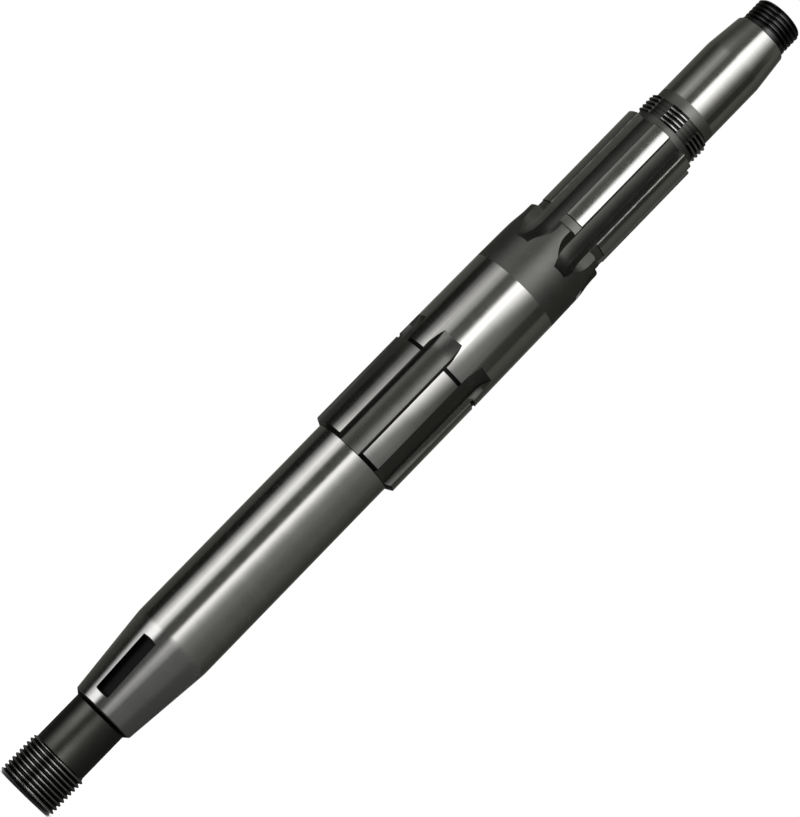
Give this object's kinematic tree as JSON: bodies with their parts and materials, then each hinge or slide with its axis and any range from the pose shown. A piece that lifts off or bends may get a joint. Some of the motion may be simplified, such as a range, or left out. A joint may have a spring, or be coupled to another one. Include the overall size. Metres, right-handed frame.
{
  "type": "gearbox mainshaft",
  "caption": "Hollow steel mainshaft of a small gearbox: keyed clutch taper, long ground journal, two straight splines and threads at both ends and between, standing on its clutch end.",
  "frame": {"origin": "centre of the clutch thread's end face, on which the shaft stands", "axes": "+Z along the axis towards the end thread; -Y out of the keyway in the clutch taper"},
  "size_m": [0.0296, 0.0294, 0.3076],
  "materials": {
    "steel": "ground bright on journals, tapers, hub and crowns; black heat-treated elsewhere"
  },
  "bodies": {
    "root": {"mainshaft": "steel"}
  },
  "joints": []
}
